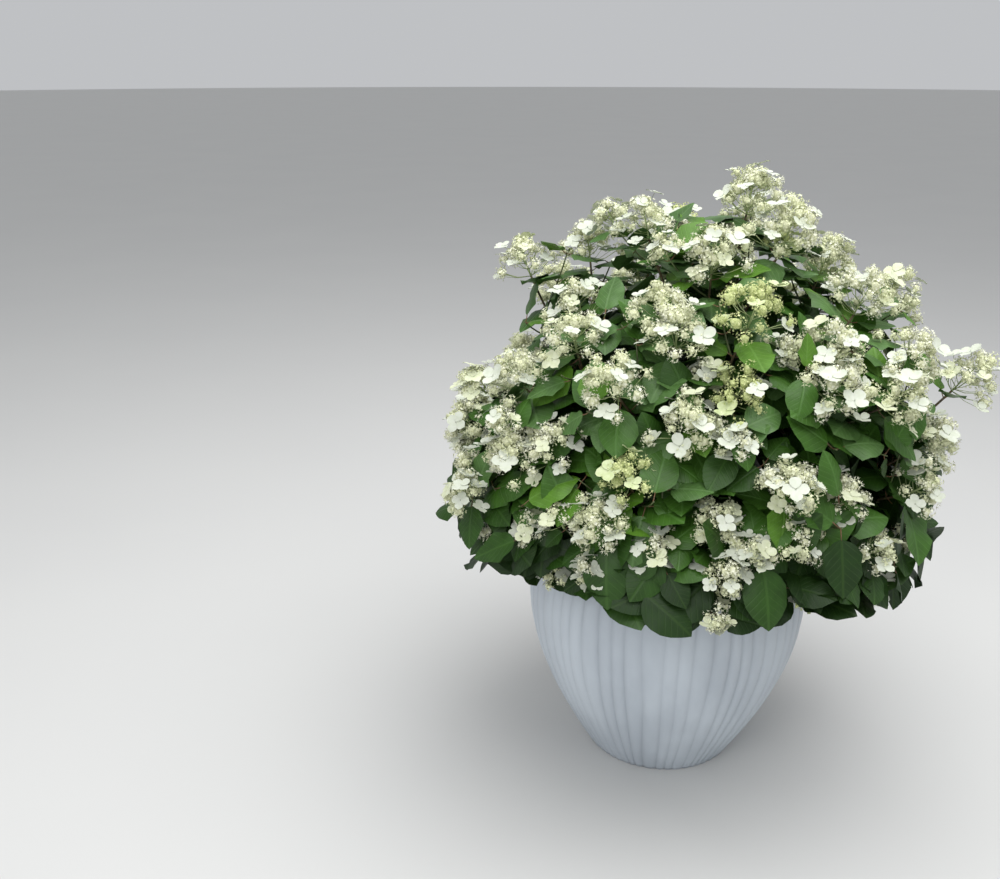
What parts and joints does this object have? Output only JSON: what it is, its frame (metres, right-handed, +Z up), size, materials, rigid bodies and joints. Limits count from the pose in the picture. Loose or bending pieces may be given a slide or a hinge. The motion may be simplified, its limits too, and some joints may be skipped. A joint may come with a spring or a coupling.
{
  "type": "potted hydrangea shrub",
  "caption": "Panicle hydrangea in bloom, a round many-stemmed shrub with creamy cones of florets, planted in a pale fluted pot.",
  "frame": {"origin": "middle of the pot's flat underside", "axes": "+Z up along the pot's axis, -Y towards the side that the picture shows, +X to its right"},
  "size_m": [0.9374, 0.9154, 1.1143],
  "materials": {
    "pot": "satin",
    "soil": "matte",
    "bark": "matte",
    "foliage": "satin"
  },
  "bodies": {
    "root": {"pot": "pot", "potting_mix": "soil", "trunk_stool": "bark", "bough_crown_top": "bark", "bough_top_left": "bark", "bough_top_front": "bark", "bough_top_right": "bark", "bough_top_back_right": "bark", "bough_top_back": "bark", "bough_top_back_left": "bark", "bough_left": "bark", "bough_front": "bark", "bough_front_right": "bark", "bough_right": "bark", "bough_back_right": "bark", "bough_back": "bark", "bough_back_left": "bark", "bough_far_left": "bark", "foliage_crown_top": "foliage", "foliage_top_left": "foliage", "foliage_top_front": "foliage", "foliage_top_right": "foliage", "foliage_top_back_right": "foliage", "foliage_top_back": "foliage", "foliage_top_back_left": "foliage", "foliage_left": "foliage", "foliage_front": "foliage", "foliage_front_right": "foliage", "foliage_right": "foliage", "foliage_back_right": "foliage", "foliage_back": "foliage", "foliage_back_left": "foliage", "foliage_far_left": "foliage"}
  },
  "joints": []
}
